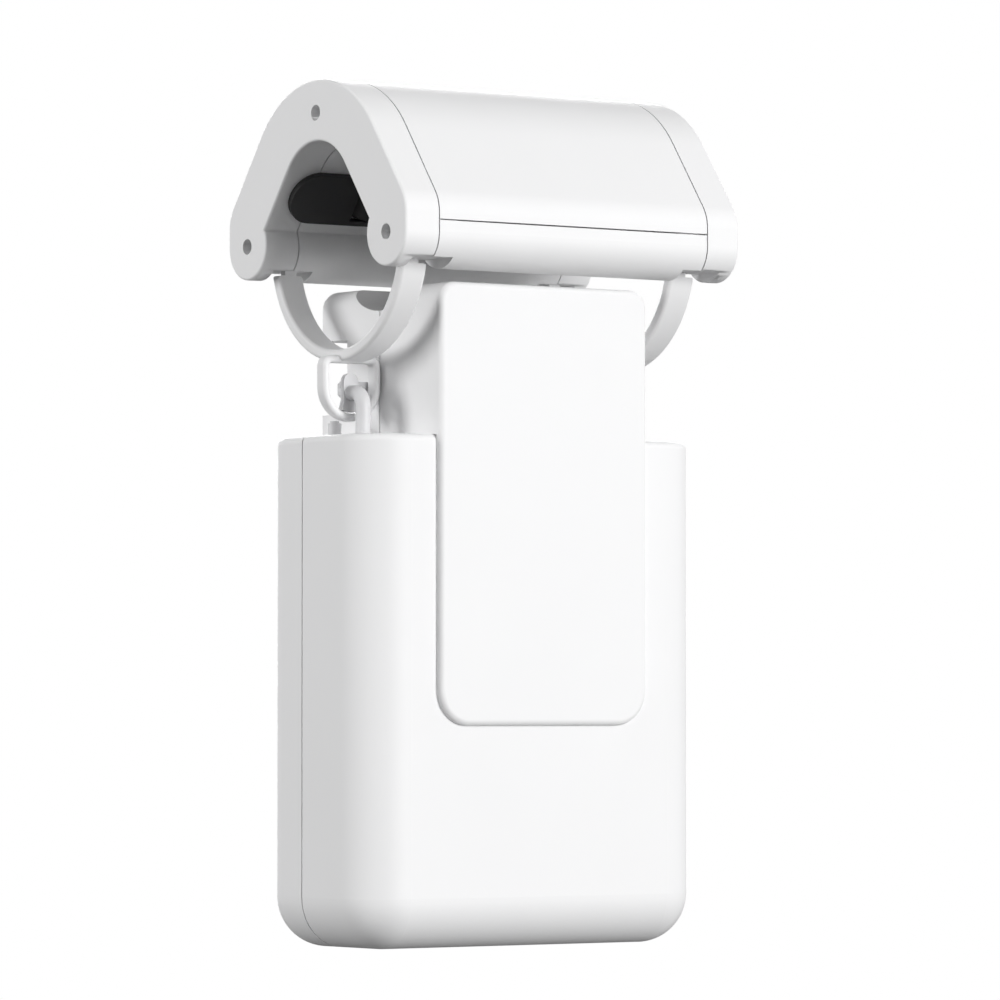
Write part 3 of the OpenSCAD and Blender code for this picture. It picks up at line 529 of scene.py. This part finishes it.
def raised(recipe, geometry, height):
    """Geometry moved up by a height."""
    lift = recipe.node("ShaderNodeCombineXYZ", None, {"Z": height})
    return recipe.node("GeometryNodeTransform", None, {"Geometry": geometry, "Translation": lift})


def screw_recipe(finish):
    """Pan-head screws with a cross recess and a coarse thread, one at each point, heads in its direction."""
    recipe = Recipe("screws", {"Geometry": "Geometry", "Head Radius": "Float", "Head Height": "Float",
                               "Shank Radius": "Float", "Length": "Float", "Pitch": "Float",
                               "Recess": "Float"})
    head_r = recipe.input("Head Radius")
    head_h = recipe.input("Head Height")
    shank_r = recipe.input("Shank Radius")
    length = recipe.input("Length")
    pitch = recipe.input("Pitch")
    recess = recipe.input("Recess")
    rim = recipe.node("GeometryNodeMeshCone", None, {
        "Vertices": 40, "Radius Top": head_r, "Radius Bottom": head_r, "Depth": 0.5 * head_h}, "Mesh")
    crown = recipe.node("GeometryNodeMeshCone", None, {
        "Vertices": 40, "Radius Top": 0.78 * head_r, "Radius Bottom": head_r, "Depth": 0.52 * head_h}, "Mesh")
    core = recipe.node("GeometryNodeMeshCone", None, {
        "Vertices": 24, "Radius Top": 0.76 * shank_r, "Radius Bottom": 0.4 * shank_r,
        "Depth": length - 0.9 * head_h}, "Mesh")
    whole = recipe.node("GeometryNodeMeshBoolean", {"operation": "UNION", "solver": "MANIFOLD"}, {"Mesh 2": [
        raised(recipe, rim, -1 * head_h), raised(recipe, crown, -0.52 * head_h),
        raised(recipe, core, -1 * length)]}, "Mesh")
    bars = []
    for long_way, short_way in (("X", "Y"), ("Y", "X")):
        size = recipe.node("ShaderNodeCombineXYZ", None,
                           {long_way: 2.8 * recess, short_way: recess, "Z": 1.2 * head_h})
        bars.append(recipe.node("GeometryNodeMeshCube", None, {"Size": size}, "Mesh"))
    body = recipe.node("GeometryNodeMeshBoolean", {"operation": "DIFFERENCE", "solver": "MANIFOLD"},
                       {"Mesh 1": whole, "Mesh 2": bars}, "Mesh")
    helix = recipe.node("GeometryNodeCurveSpiral", None, {
        "Resolution": 14, "Rotations": (length - head_h) / pitch - 1, "Start Radius": 0.6 * shank_r,
        "End Radius": 0.74 * shank_r, "Height": length - head_h - pitch})
    ridge = recipe.node("GeometryNodeCurvePrimitiveCircle", None,
                        {"Resolution": 3, "Radius": 0.25 * shank_r})
    thread = recipe.node("GeometryNodeCurveToMesh", None, {
        "Curve": helix, "Profile Curve": ridge, "Fill Caps": True})
    screw = recipe.node("GeometryNodeJoinGeometry", None, {"Geometry": [
        body, raised(recipe, thread, 0.5 * pitch - length)]})
    facing = recipe.node("GeometryNodeInputNamedAttribute", {"data_type": "FLOAT_VECTOR"},
                         {"Name": "direction"}, "Attribute")
    turned = recipe.node("FunctionNodeAlignRotationToVector", {"axis": "Z"}, {"Vector": facing})
    recipe.end(recipe.node("GeometryNodeInstanceOnPoints", None, {
        "Points": recipe.input("Geometry"), "Instance": screw, "Rotation": turned}), finish)
    return recipe


def tread_recipe(finish):
    """Ribs round a grooved tyre on the Y axis, each bent along the groove, then all put in place."""
    recipe = Recipe("tread", {"Geometry": "Geometry", "Groove Radius": "Float", "Rod Distance": "Float",
                              "Rib Radius": "Float", "Half Angle": "Float", "Ribs": "Int",
                              "Centre": "Vector"})
    half = recipe.input("Half Angle")
    count = recipe.input("Ribs")
    arc = recipe.node("GeometryNodeCurveArc", None, {
        "Resolution": 14, "Radius": recipe.input("Groove Radius"), "Start Angle": math.pi - half,
        "Sweep Angle": 2 * half}, "Curve")
    wire = recipe.node("GeometryNodeCurvePrimitiveCircle", None,
                       {"Resolution": 6, "Radius": recipe.input("Rib Radius")})
    rib = recipe.node("GeometryNodeCurveToMesh", None, {
        "Curve": arc, "Profile Curve": wire, "Fill Caps": True})
    out = recipe.node("ShaderNodeCombineXYZ", None, {"X": recipe.input("Rod Distance")})
    rib = recipe.node("GeometryNodeTransform", None, {"Geometry": rib, "Translation": out})
    starts = recipe.node("GeometryNodeMeshLine", None, {"Count": count, "Offset": (0.0, 0.0, 0.0)})
    share = recipe.node("GeometryNodeInputIndex") / count
    turn = recipe.node("ShaderNodeCombineXYZ", None, {"Y": 2 * math.pi * share})
    ribs = recipe.node("GeometryNodeInstanceOnPoints", None, {
        "Points": starts, "Instance": rib, "Rotation": turn})
    tyre = recipe.node("GeometryNodeJoinGeometry", None, {"Geometry": [recipe.input("Geometry"), ribs]})
    recipe.end(recipe.node("GeometryNodeTransform", None, {
        "Geometry": tyre, "Translation": recipe.input("Centre")}), finish)
    return recipe


# Settings


class HousingSettings(bpy.types.PropertyGroup):
    """Housing pieces, straps and hooks."""

    colour: bpy.props.FloatVectorProperty(
        name="Housing colour", description="Colour of the moulded housing",
        subtype="COLOR", size=3, min=0, max=1, default=(0.86, 0.86, 0.865))
    roughness: bpy.props.FloatProperty(
        name="Housing roughness", description="How dull the housing is",
        subtype="FACTOR", min=0, max=1, default=0.55)
    grain: bpy.props.FloatProperty(
        name="Grain depth", description="Depth of the fine moulded grain",
        unit="LENGTH", min=0, default=0.006 * MM)
    edge: bpy.props.FloatProperty(
        name="Cap edge", description="Radius of the outer edge of each end cap",
        unit="LENGTH", min=0, default=0.5 * MM)
    strap_colour: bpy.props.FloatVectorProperty(
        name="Strap colour", description="Colour of the half-round straps",
        subtype="COLOR", size=3, min=0, max=1, default=(0.83, 0.83, 0.835))
    # The hooks' grey is partly their own colour and partly painted shade for the shadow of the rod and the neck on
    # them
    hook_colour_and_shade: bpy.props.FloatVectorProperty(
        name="Hook colour", description="Colour of the hooks below the straps",
        subtype="COLOR", size=3, min=0, max=1, default=(0.62, 0.62, 0.63))
    strap_roughness: bpy.props.FloatProperty(
        name="Strap roughness", description="How dull the straps and hooks are",
        subtype="FACTOR", min=0, max=1, default=0.45)


class DriveSettings(bpy.types.PropertyGroup):
    """Springs, screws and tyres."""

    spring_wire: bpy.props.FloatProperty(
        name="Spring wire", description="Diameter of the wire of the hook springs",
        unit="LENGTH", min=0.1 * MM, default=0.6 * MM)
    spring_turns: bpy.props.FloatProperty(
        name="Spring turns", description="Number of turns of each hook spring",
        min=2, default=7.5)
    screw_pitch: bpy.props.FloatProperty(
        name="Screw pitch", description="Pitch of the screws' thread",
        unit="LENGTH", min=0.1 * MM, default=0.7 * MM)
    rib_height: bpy.props.FloatProperty(
        name="Rib height", description="Height of the ribs of the tyres' tread",
        unit="LENGTH", min=0, default=0.45 * MM)
    ribs: bpy.props.IntProperty(
        name="Ribs", description="Number of ribs round each tyre",
        min=3, default=30)


class StageSettings(bpy.types.PropertyGroup):
    """Floor, lamps, sky and camera."""

    floor_z: bpy.props.FloatProperty(
        name="Floor height", description="Height of the floor below the hanging opener",
        unit="LENGTH", default=-0.9)
    lamps: bpy.props.FloatProperty(
        name="Lamps", description="Strength of all lamps together",
        min=0, default=1.0)
    sky: bpy.props.FloatProperty(
        name="Sky", description="Strength of the even light from all round",
        min=0, default=0.2)
    lens: bpy.props.FloatProperty(
        name="Lens", description="Focal length on a 36 mm wide sensor",
        unit="CAMERA", min=1, default=215.577)
    camera_place: bpy.props.FloatVectorProperty(
        name="Camera place", description="Where the camera stands",
        subtype="TRANSLATION", size=3, default=(-0.73972, -1.02403, -0.09793))
    camera_turn: bpy.props.FloatVectorProperty(
        name="Camera turn", description="Which way the camera looks",
        subtype="EULER", size=3, default=(math.radians(91.97), 0.0, math.radians(-36.0)))


class OpenerSettings(bpy.types.PropertyGroup):
    """All settings of the curtain opener."""

    housing: bpy.props.PointerProperty(type=HousingSettings)
    drive: bpy.props.PointerProperty(type=DriveSettings)
    stage: bpy.props.PointerProperty(type=StageSettings)


# Operators


class OPENER_OT_stage(bpy.types.Operator):
    """Add the floor, the lamps, the pale surroundings and the camera"""

    bl_idname = "curtain_opener.stage"
    bl_label = "Stage"

    def execute(self, context):
        settings = context.scene.curtain_opener.stage
        context.scene.view_settings.view_transform = "Standard"
        self.add_floor(settings)
        for name, (place, size, power) in LAMPS.items():
            self.add_lamp(name, place, size, power * settings.lamps)
        self.set_world(context.scene, settings)
        self.add_camera(context.scene, settings)
        return {"FINISHED"}

    @staticmethod
    def add_floor(settings):
        """A floor that the camera sees as white and that throws little light back."""
        finish = Finish("floor_white")
        seen = finish.node("ShaderNodeLightPath", output="Is Camera Ray")
        cloud = finish.noise(0.4, 2.0)
        paper = finish.node("ShaderNodeBsdfDiffuse", None,
                            {"Color": finish.mix(cloud, (0.15, 0.15, 0.15), (0.17, 0.17, 0.17))})
        glow = finish.node("ShaderNodeEmission", None, {"Strength": FLOOR_GLOW * seen})
        both = finish.node("ShaderNodeAddShader", None, {0: paper, 1: glow})
        finish.node("ShaderNodeOutputMaterial", None, {"Surface": both})
        shape = bmesh.new()
        bmesh.ops.create_grid(shape, x_segments=4, y_segments=4, size=FLOOR_REACH)
        bmesh.ops.translate(shape, verts=shape.verts, vec=(0, 0, settings.floor_z))
        floor = bpy.data.objects.new("floor", plain_mesh("floor", shape))
        floor.data.materials.append(finish.material)
        bpy.context.scene.collection.objects.link(floor)

    @staticmethod
    def add_lamp(name, place, size, power):
        """A round soft lamp that faces the opener."""
        lamp = bpy.data.lights.new(name, "AREA")
        lamp.shape = "DISK"
        lamp.size = size
        lamp.energy = power
        holder = bpy.data.objects.new(name, lamp)
        holder.location = place
        aim = LAMP_AIM - Vector(place)
        holder.rotation_euler = aim.to_track_quat("-Z", "Y").to_euler()
        bpy.context.scene.collection.objects.link(holder)

    @staticmethod
    def set_world(scene, settings):
        """Surroundings that look and reflect white but light the opener only a little."""
        scene.world = bpy.data.worlds.new("pale_room")
        scene.world.use_nodes = True
        graph = Graph(scene.world.node_tree)
        graph.tree.nodes.clear()
        seen = sum(graph.node("ShaderNodeLightPath", output=ray)
                   for ray in ("Is Camera Ray", "Is Glossy Ray", "Is Transmission Ray"))
        white = graph.node("ShaderNodeBackground", None, {"Color": (1, 1, 1, 1), "Strength": 1.0})
        light = graph.node("ShaderNodeBackground", None, {"Color": (1, 1, 1, 1), "Strength": settings.sky})
        either = graph.node("ShaderNodeMixShader", None, {0: seen, 1: light, 2: white})
        graph.node("ShaderNodeOutputWorld", None, {"Surface": either})

    @staticmethod
    def add_camera(scene, settings):
        """A camera that looks at the opener from its left front, a little from below."""
        camera = bpy.data.objects.new("photo_camera", bpy.data.cameras.new("photo_camera"))
        camera.data.lens = settings.lens
        camera.data.sensor_width = SENSOR_WIDTH
        camera.location = settings.camera_place
        camera.rotation_euler = settings.camera_turn
        scene.collection.objects.link(camera)
        scene.camera = camera


class OPENER_OT_saddle(bpy.types.Operator):
    """Finish the saddle: cover, frame and end caps with soft outer edges"""

    bl_idname = "curtain_opener.saddle"
    bl_label = "Saddle"

    def execute(self, context):
        housing = context.scene.curtain_opener.housing
        white = moulded_plastic("saddle_white", housing.colour, housing.roughness, housing.grain)
        paint(white, "saddle_cover", "saddle_frame")
        for side in SIDES:
            node = "cap_" + side
            shape = welded(node)
            soften(shape, housing.edge, self.rim_of(node))
            add_piece(level_mesh(node, shape), white, node)
        return {"FINISHED"}

    @staticmethod
    def rim_of(node):
        """A test for the edges on the outline of a cap's end face, without those round its screw holes."""
        end = max(abs(corner.x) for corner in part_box(node))
        holes = [(low + high) / 2 for low, high in solid_boxes("cap_screws")]

        def on_rim(edge):
            middle = (edge.verts[0].co + edge.verts[1].co) / 2
            flat = all(abs(abs(vert.co.x) - end) < END_SLACK for vert in edge.verts)
            return flat and all((middle.yz - hole.yz).length > CAP_HOLE_ROOM for hole in holes)

        return on_rim


class OPENER_OT_rollers(bpy.types.Operator):
    """Finish the black strips, the idler rollers and their pins"""

    bl_idname = "curtain_opener.rollers"
    bl_label = "Rollers"

    def execute(self, context):
        paint(glass_filled_plastic("strip_black", (0.022, 0.022, 0.023)), "carrier_front", "carrier_rear")
        rollers = [f"roller_{depth}_{side}" for depth in ("front", "rear") for side in SIDES]
        paint(black_rubber("roller_black", (0.018, 0.018, 0.018)), *rollers)
        paint(drawn_metal("pin_steel", (0.6, 0.6, 0.61), 0.28), "roller_pins")
        return {"FINISHED"}


class OPENER_OT_straps(bpy.types.Operator):
    """Finish the half-round straps and the hooks that hold their eyes"""

    bl_idname = "curtain_opener.straps"
    bl_label = "Straps and Hooks"

    def execute(self, context):
        housing = context.scene.curtain_opener.housing
        # The hooks get a greyer colour than the straps: partly their own grey, partly painted shade
        for piece, colour in (("strap", housing.strap_colour), ("hook", housing.hook_colour_and_shade)):
            finish = moulded_plastic(piece + "_smooth", colour, housing.strap_roughness, STRAP_GRAIN)
            paint(finish, *(f"{piece}_{side}" for side in SIDES))
        paint(glass_filled_plastic("guide_grey", (0.55, 0.55, 0.56)), "hook_guides")
        return {"FINISHED"}


class OPENER_OT_housing(bpy.types.Operator):
    """Finish the neck panels and the body shells"""

    bl_idname = "curtain_opener.housing"
    bl_label = "Neck and Body"

    def execute(self, context):
        housing = context.scene.curtain_opener.housing
        white = moulded_plastic("body_white", housing.colour, housing.roughness, housing.grain)
        paint(white, "front_panel", "rear_panel", "front_shell", "rear_shell")
        return {"FINISHED"}


class OPENER_OT_drive(bpy.types.Operator):
    """Finish the motor, the gear train and the drive wheels, with ribbed tyres"""

    bl_idname = "curtain_opener.drive"
    bl_label = "Drive"

    def execute(self, context):
        settings = context.scene.curtain_opener.drive
        paint(glass_filled_plastic("drive_grey", (0.1, 0.105, 0.115)), "drive_frame")
        gears = [part + side for part in ("wheel_hub_", "wheel_gear_") for side in SIDES]
        paint(waxy_plastic("gear_natural", (0.72, 0.71, 0.67)), "reduction_gear", *gears)
        paint(drawn_metal("pinion_brass", (0.78, 0.55, 0.22), 0.26, (8.0, 0.3, 8.0)), "motor_pinion")
        paint(drawn_metal("pin_bright", (0.6, 0.6, 0.61), 0.25, (1.0, 8.0, 1.0)), "gear_pin")
        paint(motor_can("motor_plate"), "motor")
        rubber = black_rubber("tyre_black", (0.02, 0.02, 0.02))
        recipe = tread_recipe(rubber)
        for side in SIDES:
            self.add_tyre("wheel_tyre_" + side, recipe, rubber, settings)
        return {"FINISHED"}

    @staticmethod
    def add_tyre(node, recipe, rubber, settings):
        """A tyre whose groove is cut down between the ribs."""
        low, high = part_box(node)
        centre = (low + high) / 2
        half = (high.y - low.y) / 2
        groove = ROD_RADIUS + settings.rib_height
        angle = math.asin(half / groove)
        outline = [(BORE_RADIUS, -half), (BORE_RADIUS, half)]
        for step in range(GROOVE_STEPS + 1):
            turn = angle - 2 * angle * step / GROOVE_STEPS
            outline.append((-centre.z - groove * math.cos(turn), groove * math.sin(turn)))
        shape = bmesh.new()
        verts = [shape.verts.new((radius, across, 0.0)) for radius, across in outline]
        edges = [shape.edges.new((a, b)) for a, b in zip(verts, verts[1:] + verts[:1])]
        bmesh.ops.spin(shape, geom=verts + edges, axis=(0, 1, 0), cent=(0, 0, 0), steps=TYRE_STEPS,
                       angle=2 * math.pi, use_merge=True)
        bmesh.ops.remove_doubles(shape, verts=shape.verts, dist=WELD)
        bmesh.ops.recalc_face_normals(shape, faces=shape.faces)
        rib = RIB_RADIUS_SHARE * settings.rib_height
        mesh = recipe.make(plain_mesh(node, shape), {
            "Groove Radius": ROD_RADIUS + rib, "Rod Distance": -centre.z, "Rib Radius": rib,
            "Half Angle": angle - RIB_END_GAP, "Ribs": settings.ribs, "Centre": centre})
        mesh.set_sharp_from_angle(angle=SHARP)
        add_piece(mesh, rubber, node)


class OPENER_OT_springs(bpy.types.Operator):
    """Wind the hook springs"""

    bl_idname = "curtain_opener.springs"
    bl_label = "Springs"

    def execute(self, context):
        settings = context.scene.curtain_opener.drive
        steel = drawn_metal("spring_steel", (0.62, 0.62, 0.63), 0.3)
        recipe = coil_recipe(steel)
        for side in SIDES:
            node = "spring_" + side
            low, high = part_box(node)
            foot = Vector(((low.x + high.x) / 2, (low.y + high.y) / 2, low.z))
            height = high.z - low.z
            mesh = recipe.make(points_mesh(node, [foot], [(0, 0, 1)]), {
                "Radius": (high.y - low.y - settings.spring_wire) / 2, "Wire": settings.spring_wire,
                "Height": height, "Turns": settings.spring_turns,
                "Flat Share": SPRING_END_TURNS / settings.spring_turns})
            spring = add_piece(mesh, steel, node)
            joint = f"hook_{side}_slide"
            travel = next(item["range_m"][1] for item in frame["joints"] if item["name"] == joint)
            1 - travel / height
            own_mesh(spring)
        return {"FINISHED"}


class OPENER_OT_power(bpy.types.Operator):
    """Finish the battery, its tray and the circuit board"""

    bl_idname = "curtain_opener.power"
    bl_label = "Battery and Board"

    def execute(self, context):
        cell_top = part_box("battery_cells")[1].z
        paint(cell_sleeve("cell_blue", cell_top - CELL_CAP), "battery_cells")
        paint(glass_filled_plastic("tray_black", (0.035, 0.035, 0.037)), "battery_tray")
        board_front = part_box("circuit_board")[0].y
        paint(circuit_green("board_green", board_front + BOARD_THICKNESS + BOARD_CLEAR), "circuit_board")
        return {"FINISHED"}


class OPENER_OT_controls(bpy.types.Operator):
    """Finish the button, the status light and the charging inlet"""

    bl_idname = "curtain_opener.controls"
    bl_label = "Controls"

    def execute(self, context):
        housing = context.scene.curtain_opener.housing
        paint(moulded_plastic("button_white", housing.colour, BUTTON_ROUGHNESS, BUTTON_GRAIN), "button")
        paint(frosted_lens("light_clear"), "light_pipe")
        paint(drawn_metal("inlet_steel", (0.58, 0.58, 0.59), 0.3, (4.0, 4.0, 0.5)), "charging_inlet")
        return {"FINISHED"}


class OPENER_OT_screws(bpy.types.Operator):
    """Put a threaded cross-head screw in place of each plain one"""

    bl_idname = "curtain_opener.screws"
    bl_label = "Screws"

    def execute(self, context):
        pitch = context.scene.curtain_opener.drive.screw_pitch
        steel = drawn_metal("screw_steel", (0.6, 0.6, 0.61), 0.26)
        recipe = screw_recipe(steel)
        for node, (facing, head, shank, height) in SCREWS.items():
            places = []
            directions = []
            for low, high in solid_boxes(node):
                middle = (low + high) / 2
                outward = Vector(facing)
                # The cap screws at the two ends face away from each other
                if node == "cap_screws":
                    outward *= math.copysign(1, middle.x)
                size = high - low
                length = abs(size.dot(outward))
                places.append(middle + outward * length / 2)
                directions.append(outward)
            # All screws of a group are equally long
            mesh = recipe.make(points_mesh(node, places, directions), {
                "Head Radius": head * MM, "Head Height": height * MM, "Shank Radius": shank * MM,
                "Length": length, "Pitch": pitch, "Recess": RECESS_SHARE * head * MM})
            mesh.set_sharp_from_angle(angle=SHARP)
            add_piece(mesh, steel, node)
        return {"FINISHED"}


class OPENER_PT_panel(bpy.types.Panel):
    """Lists the steps that finish the curtain opener"""

    bl_idname = "OPENER_PT_panel"
    bl_label = "Curtain Opener"
    bl_space_type = "VIEW_3D"
    bl_region_type = "UI"
    bl_category = "Curtain Opener"

    def draw(self, context):
        for step in STEPS:
            self.layout.operator(step.bl_idname)


STEPS = (OPENER_OT_stage, OPENER_OT_saddle, OPENER_OT_rollers, OPENER_OT_straps, OPENER_OT_housing,
         OPENER_OT_drive, OPENER_OT_springs, OPENER_OT_power, OPENER_OT_controls, OPENER_OT_screws)
CLASSES = (HousingSettings, DriveSettings, StageSettings, OpenerSettings, *STEPS, OPENER_PT_panel)


def register():
    for item in CLASSES:
        bpy.utils.register_class(item)
    bpy.types.Scene.curtain_opener = bpy.props.PointerProperty(type=OpenerSettings)


def unregister():
    del bpy.types.Scene.curtain_opener
    for item in reversed(CLASSES):
        bpy.utils.unregister_class(item)


def main():
    register()
    for step in STEPS:
        group, name = step.bl_idname.split(".")
        getattr(getattr(bpy.ops, group), name)()


if __name__ == "__main__":
    main()
